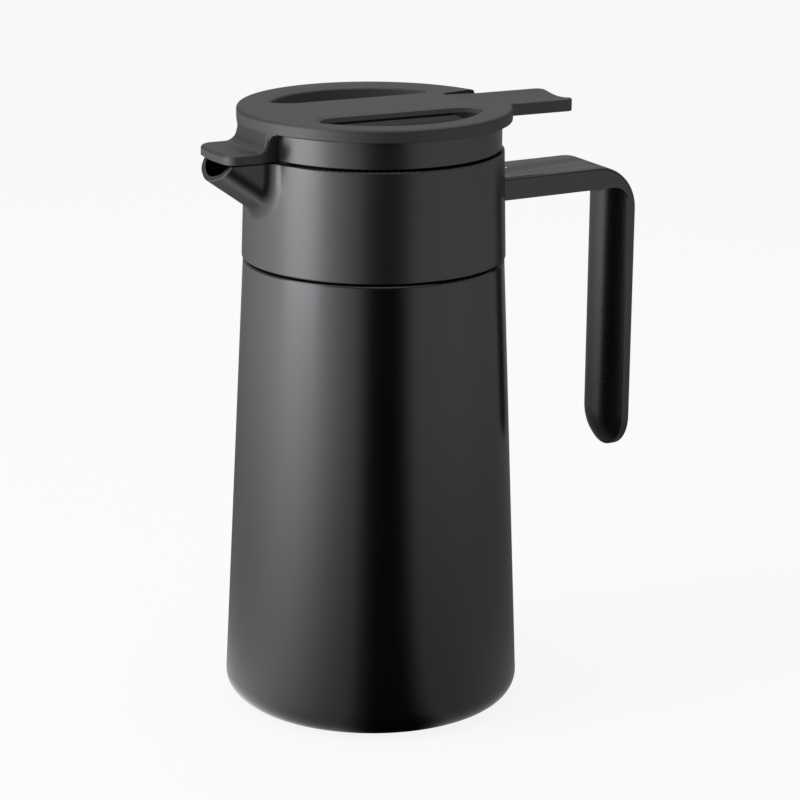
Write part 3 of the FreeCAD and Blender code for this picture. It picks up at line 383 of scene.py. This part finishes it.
def studio_floor():
    """Pale floor with a soft shadow. Reflections see a painted glow on it: a pool of light from the left,
    with a painted dark gap by the camera.
    """
    bpy.ops.object.select_all(action="DESELECT")
    bpy.ops.mesh.primitive_plane_add(size=FLOOR_SIZE)
    floor = bpy.context.object
    floor.name = "floor"
    finish = Finish(bpy.data.materials.new("floor_paper"))
    shader = finish.tree.nodes["Principled BSDF"]
    shader.inputs["Base Color"].default_value = FLOOR_PAPER
    shader.inputs["Roughness"].default_value = FLOOR_ROUGHNESS
    seen, shine, through = (finish.ray(kind) for kind in ("Camera", "Glossy", "Transmission"))
    reach = finish.vector("LENGTH", {0: finish.place()}, "Value")
    outward = finish.vector("NORMALIZE", {0: finish.place()})

    def towards(turn):
        heading = math.radians(270 - VIEW_TURN + turn)
        way = (math.cos(heading), math.sin(heading), 0)
        return finish.vector("DOT_PRODUCT", {0: outward, 1: way}, "Value")

    def lobe(turn, focus):
        ahead = finish.node("ShaderNodeMath", {"operation": "MAXIMUM"}, {0: towards(turn), 1: 0.0})
        return finish.node("ShaderNodeMath", {"operation": "POWER"}, {0: ahead, 1: focus})

    # Painted glow that only reflections see: a pool of light from the left, a side band, a dimmer back, and
    # a painted dark gap by the camera.
    far = finish.span(reach, 0.0, POOL_REACH)
    pool = lobe(POOL_TURN, POOL_FOCUS) * (POOL_NEAR + POOL_RISE * far)
    side = lobe(SIDE_TURN, SIDE_FOCUS) * (SIDE_NEAR + SIDE_RISE * far)
    back = finish.span(towards(BACK_TURN), BACK_START, 1.0, 1.0, BACK_SHARE)
    gap = finish.span(towards(GAP_TURN), math.cos(GAP_EDGE), math.cos(GAP_CORE), 1.0, 0.0)
    painted_floor_glow = ((FLOOR_NEAR + FLOOR_RISE * far) * back + pool + side) * gap
    level = seen + through + shine * painted_floor_glow
    white = finish.node("ShaderNodeEmission", {}, {"Color": WHITE, "Strength": level})
    share = (seen + through) * FLOOR_WHITE + shine
    paper = Field(finish, shader.outputs[0])
    mixed = finish.node("ShaderNodeMixShader", {}, {0: share, 1: paper, 2: white})
    finish.feed(finish.tree.nodes["Material Output"].inputs["Surface"], mixed)
    floor.data.materials.append(finish.owner)


def area_light(name, place, target, width, height, power, mirrored=True):
    """Rectangular lamp facing a target. Reflections show it only where it is mirrored."""
    light = bpy.data.lights.new(name, "AREA")
    light.shape = "RECTANGLE"
    light.size = width
    light.size_y = height
    light.energy = power
    lamp = bpy.data.objects.new(name, light)
    lamp.location = place
    lamp.rotation_mode = "QUATERNION"
    lamp.rotation_quaternion = (Vector(target) - Vector(place)).to_track_quat("-Z", "Y")
    lamp.visible_glossy = mirrored
    bpy.context.collection.objects.link(lamp)


def studio_lights():
    area_light(
        "softbox_left", SOFTBOX_PLACE, SOFTBOX_TARGET, SOFTBOX_WIDTH, SOFTBOX_HEIGHT, SOFTBOX_POWER
    )
    area_light(
        "softbox_top", TOP_LIGHT_PLACE, TOP_LIGHT_TARGET, TOP_LIGHT_SIDE, TOP_LIGHT_SIDE, TOP_LIGHT_POWER,
        mirrored=False,
    )


def photograph():
    """Camera at the photograph's viewing angle."""
    turn = math.radians(VIEW_TURN)
    pitch = math.radians(VIEW_PITCH)
    level = math.cos(pitch)
    away = Vector((math.sin(turn) * level, math.cos(turn) * level, -math.sin(pitch)))
    camera = bpy.data.cameras.new("photo_view")
    camera.lens = VIEW_LENS
    camera.sensor_width = SENSOR_WIDTH
    camera.clip_start = CLIP_START
    eye = bpy.data.objects.new("photo_view", camera)
    eye.location = VIEW_TARGET - away * VIEW_DISTANCE
    eye.rotation_mode = "QUATERNION"
    roll = Quaternion((0, 0, 1), math.radians(VIEW_ROLL))
    eye.rotation_quaternion = away.to_track_quat("-Z", "Y") @ roll
    bpy.context.collection.objects.link(eye)
    bpy.context.scene.camera = eye


bpy.context.scene.view_settings.view_transform = "Standard"
assign_finishes()
coil_spring()
studio_world()
studio_floor()
studio_lights()
photograph()
